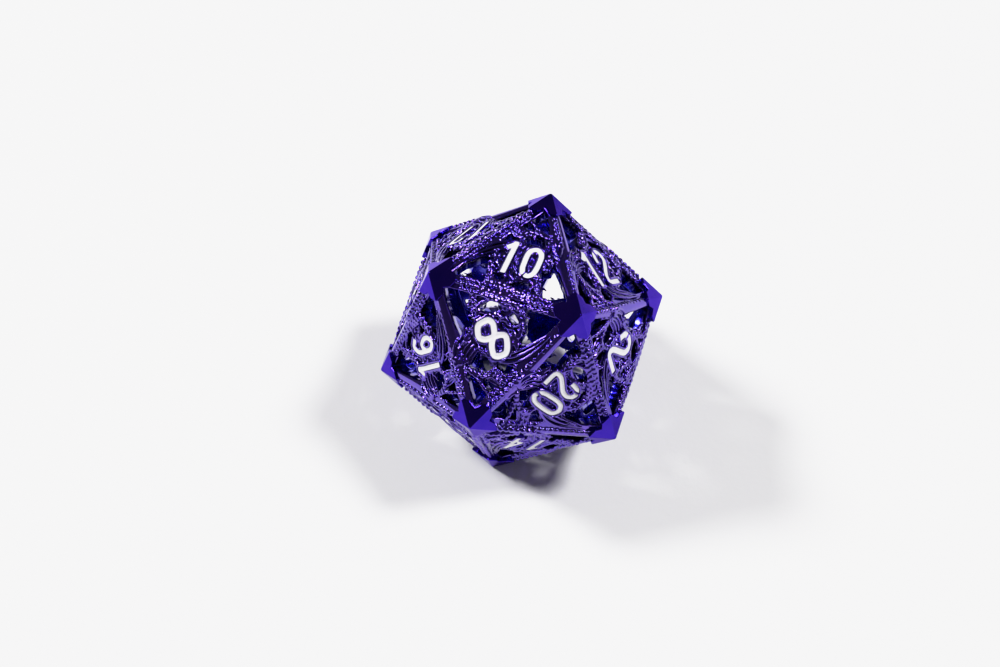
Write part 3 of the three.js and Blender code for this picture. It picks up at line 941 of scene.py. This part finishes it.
def ramp(nodes, links, value, *stops):
    """Colours at positions along a value."""
    node = nodes.new("ShaderNodeValToRGB")
    elements = node.color_ramp.elements
    while len(elements) < len(stops):
        elements.new(0.5)
    for element, (position, colour) in zip(elements, stops):
        element.position = position
        element.color = (*colour, 1)
    links.new(value, node.inputs["Fac"])
    return node.outputs["Color"]


def remap(nodes, links, value, low, high, to_low, to_high):
    node = nodes.new("ShaderNodeMapRange")
    for socket, number in zip(("From Min", "From Max", "To Min", "To Max"), (low, high, to_low, to_high)):
        node.inputs[socket].default_value = number
    links.new(value, node.inputs["Value"])
    return node.outputs["Result"]


def mixed(nodes, links, share, colour, other):
    """One colour turned towards another as the share goes from 0 to 1."""
    node = nodes.new("ShaderNodeMix")
    node.data_type = "RGBA"
    first, second = (socket for socket in node.inputs if socket.enabled and socket.name in ("A", "B"))
    links.new(share, node.inputs["Factor"])
    links.new(colour, first)
    second.default_value = (*other, 1)
    return next(socket for socket in node.outputs if socket.enabled)


def bump(nodes, links, value, shader, strength, distance):
    node = nodes.new("ShaderNodeBump")
    node.inputs["Strength"].default_value = strength
    node.inputs["Distance"].default_value = distance
    links.new(value, node.inputs["Height"])
    links.new(node.outputs["Normal"], shader.inputs["Normal"])


def plated_metal(name, grain, warmth, coat):
    """Violet chrome: deep violet with bluer and redder patches, painted shade in the recesses and a painted
    blue reflection inside the cage, unevenly polished. Grain is the scale of the finest bumps, warmth the
    strength of red and green."""
    material, nodes, links, shader = new_material(name)
    patches = noise(nodes, links, 420, detail=2.0)
    stops = [(at, (red * warmth, green * warmth, blue)) for at, (red, green, blue) in VIOLETS]
    colour = ramp(nodes, links, patches, *stops)
    depth = nodes.new("ShaderNodeAttribute")
    depth.attribute_name = "depth"
    # Painted shade darkens the recesses and a painted blue reflection fills the inside of the cage, by
    # depth.
    for (start, end), painted_shade in PAINTED_SHADE_BY_DEPTH:
        share = remap(nodes, links, depth.outputs["Fac"], start, end, 0, 1)
        colour = mixed(nodes, links, share, colour, painted_shade)
    links.new(colour, shader.inputs["Base Color"])
    shader.inputs["Metallic"].default_value = 1
    polish = noise(nodes, links, 1600, detail=4.0, roughness=0.6)
    links.new(remap(nodes, links, polish, 0.3, 0.75, to_low=0.07, to_high=0.19), shader.inputs["Roughness"])
    shader.inputs["Specular Tint"].default_value = (0.6, 0.5, 0.95, 1)
    shader.inputs["Coat Weight"].default_value = coat
    shader.inputs["Coat Roughness"].default_value = 0.06
    bump(nodes, links, noise(nodes, links, grain), shader, strength=0.04, distance=0.00004)
    return material


def enamel():
    """White enamel with a soft gloss and faint unevenness."""
    material, nodes, links, shader = new_material("white_enamel")
    clouds = noise(nodes, links, 900)
    colour = ramp(nodes, links, clouds, (0.3, (0.74, 0.74, 0.79)), (0.7, (0.82, 0.82, 0.86)))
    links.new(colour, shader.inputs["Base Color"])
    links.new(remap(nodes, links, clouds, 0.3, 0.7, to_low=0.28, to_high=0.42), shader.inputs["Roughness"])
    shader.inputs["Coat Weight"].default_value = 0.2
    shader.inputs["Coat Roughness"].default_value = 0.12
    bump(nodes, links, noise(nodes, links, 2500, detail=2.0), shader, strength=0.15, distance=0.00005)
    return material


def floor_cloth():
    material, nodes, links, shader = new_material("pale_floor")
    clouds = noise(nodes, links, 6)
    links.new(ramp(nodes, links, clouds, (0.3, (0.80, 0.80, 0.81)), (0.7, (0.83, 0.83, 0.83))),
              shader.inputs["Base Color"])
    shader.inputs["Roughness"].default_value = 0.75
    bump(nodes, links, noise(nodes, links, 1500, detail=2.0), shader, strength=0.1, distance=0.0002)
    return material


# ---- Camera, light and floor ----

LENS = 70.9
CAMERA_HEADING = -98.44     # degrees about +Z, from the die to the camera
CAMERA_ELEVATION = 52.6
CAMERA_ROLL = -1.5
CAMERA_DISTANCE = 12.8      # edges of the die
CAMERA_AIM = (-0.1356, 0.0203, 0)   # edges of the die, from its centre

LIGHT_DISTANCE = 1.0        # metres
LIGHT_SIZE = 0.225
FLOOR_HALF = 0.6
BACKDROP = (0.85, 0.85, 0.86)

# The room's light at heights from the horizon up, as the sine of the elevation
ROOM_LIGHT = [(0.0, (0.22, 0.21, 0.23)), (0.12, (0.14, 0.13, 0.15)), (0.5, (0.11, 0.1, 0.12)),
              (1.0, (0.09, 0.08, 0.1))]

WHITE_LEVEL = 4.0           # brightness at the end of the tone curve
TONES = [(0.2, 0.2), (0.45, 0.45), (0.72, 0.71), (0.95, 0.83), (1.2, 0.9), (1.6, 0.93), (2.5, 0.97)]
TOP_TONE = 1.0


def direction(heading, elevation):
    h, e = math.radians(heading), math.radians(elevation)
    return Vector((math.cos(h) * math.cos(e), math.sin(h) * math.cos(e), math.sin(e)))


def make_camera():
    data = bpy.data.cameras.new("camera")
    data.lens = LENS
    data.clip_start, data.clip_end = 0.01, 10
    camera = bpy.data.objects.new("camera", data)
    back = direction(CAMERA_HEADING, CAMERA_ELEVATION)
    aim = (Vector(CENTRE) + Vector(CAMERA_AIM) * EDGE) * MM
    camera.location = aim + back * CAMERA_DISTANCE * EDGE * MM
    camera.rotation_mode = "QUATERNION"
    roll = Quaternion((0, 0, 1), math.radians(CAMERA_ROLL))
    camera.rotation_quaternion = (-back).to_track_quat("-Z", "Y") @ roll
    bpy.context.collection.objects.link(camera)
    bpy.context.scene.camera = camera


def make_light(name, heading, elevation, brightness):
    """A soft round light that faces the die. Brightness is the light that falls on a sheet facing it."""
    data = bpy.data.lights.new(name, "AREA")
    data.shape = "DISK"
    data.size = LIGHT_SIZE
    data.energy = brightness * math.pi * LIGHT_DISTANCE**2
    light = bpy.data.objects.new(name, data)
    towards = direction(heading, elevation)
    light.location = Vector(CENTRE) * MM + towards * LIGHT_DISTANCE
    light.rotation_mode = "QUATERNION"
    light.rotation_quaternion = (-towards).to_track_quat("-Z", "Y")
    bpy.context.collection.objects.link(light)


def make_room():
    """Dim light from all round, dimmest overhead, and a pale backdrop behind the floor."""
    world = bpy.data.worlds.new("room")
    world.use_nodes = True
    nodes, links = world.node_tree.nodes, world.node_tree.links
    place = nodes.new("ShaderNodeTexCoord")
    split = nodes.new("ShaderNodeSeparateXYZ")
    links.new(place.outputs["Generated"], split.inputs["Vector"])
    links.new(ramp(nodes, links, split.outputs["Z"], *ROOM_LIGHT), nodes["Background"].inputs["Color"])
    backdrop = nodes.new("ShaderNodeBackground")
    backdrop.inputs["Color"].default_value = (*BACKDROP, 1)
    ray = nodes.new("ShaderNodeLightPath")
    mix = nodes.new("ShaderNodeMixShader")
    links.new(ray.outputs["Is Camera Ray"], mix.inputs["Fac"])
    links.new(nodes["Background"].outputs["Background"], mix.inputs[1])
    links.new(backdrop.outputs["Background"], mix.inputs[2])
    links.new(mix.outputs["Shader"], nodes["World Output"].inputs["Surface"])
    bpy.context.scene.world = world


def make_floor():
    corners = [(x * FLOOR_HALF, y * FLOOR_HALF, 0) for x, y in ((-1, -1), (1, -1), (1, 1), (-1, 1))]
    mesh = bpy.data.meshes.new("floor")
    mesh.from_pydata(corners, [], [(0, 1, 2, 3)])
    mesh.materials.append(floor_cloth())
    floor = bpy.data.objects.new("floor", mesh)
    bpy.context.collection.objects.link(floor)
    floor.location.z = cad_low.z


def set_exposure_curve():
    """Keeps the tones up to the pale greys and rolls off the brighter ones, as a camera does."""
    view = bpy.context.scene.view_settings
    view.view_transform = "Standard"
    view.use_curve_mapping = True
    mapping = view.curve_mapping
    mapping.white_level = (WHITE_LEVEL,) * 3
    mapping.use_clip = False
    curve = mapping.curves[3]
    for value, shown in TONES:
        curve.points.new(value / WHITE_LEVEL, shown)
    curve.points[-1].location = (1, TOP_TONE)
    mapping.update()


make_camera()
make_room()
make_light("key_right", -7, 57.0, 3.22)
make_light("key_left", 150.5, 43.0, 3.72)
make_floor()
set_exposure_curve()

make_panels(plated_metal("violet_chrome_web", 3000, 1.7, 1.0))
make_tips(plated_metal("violet_chrome_tips", 900, 1.0, 0.12))
make_enamel(enamel())
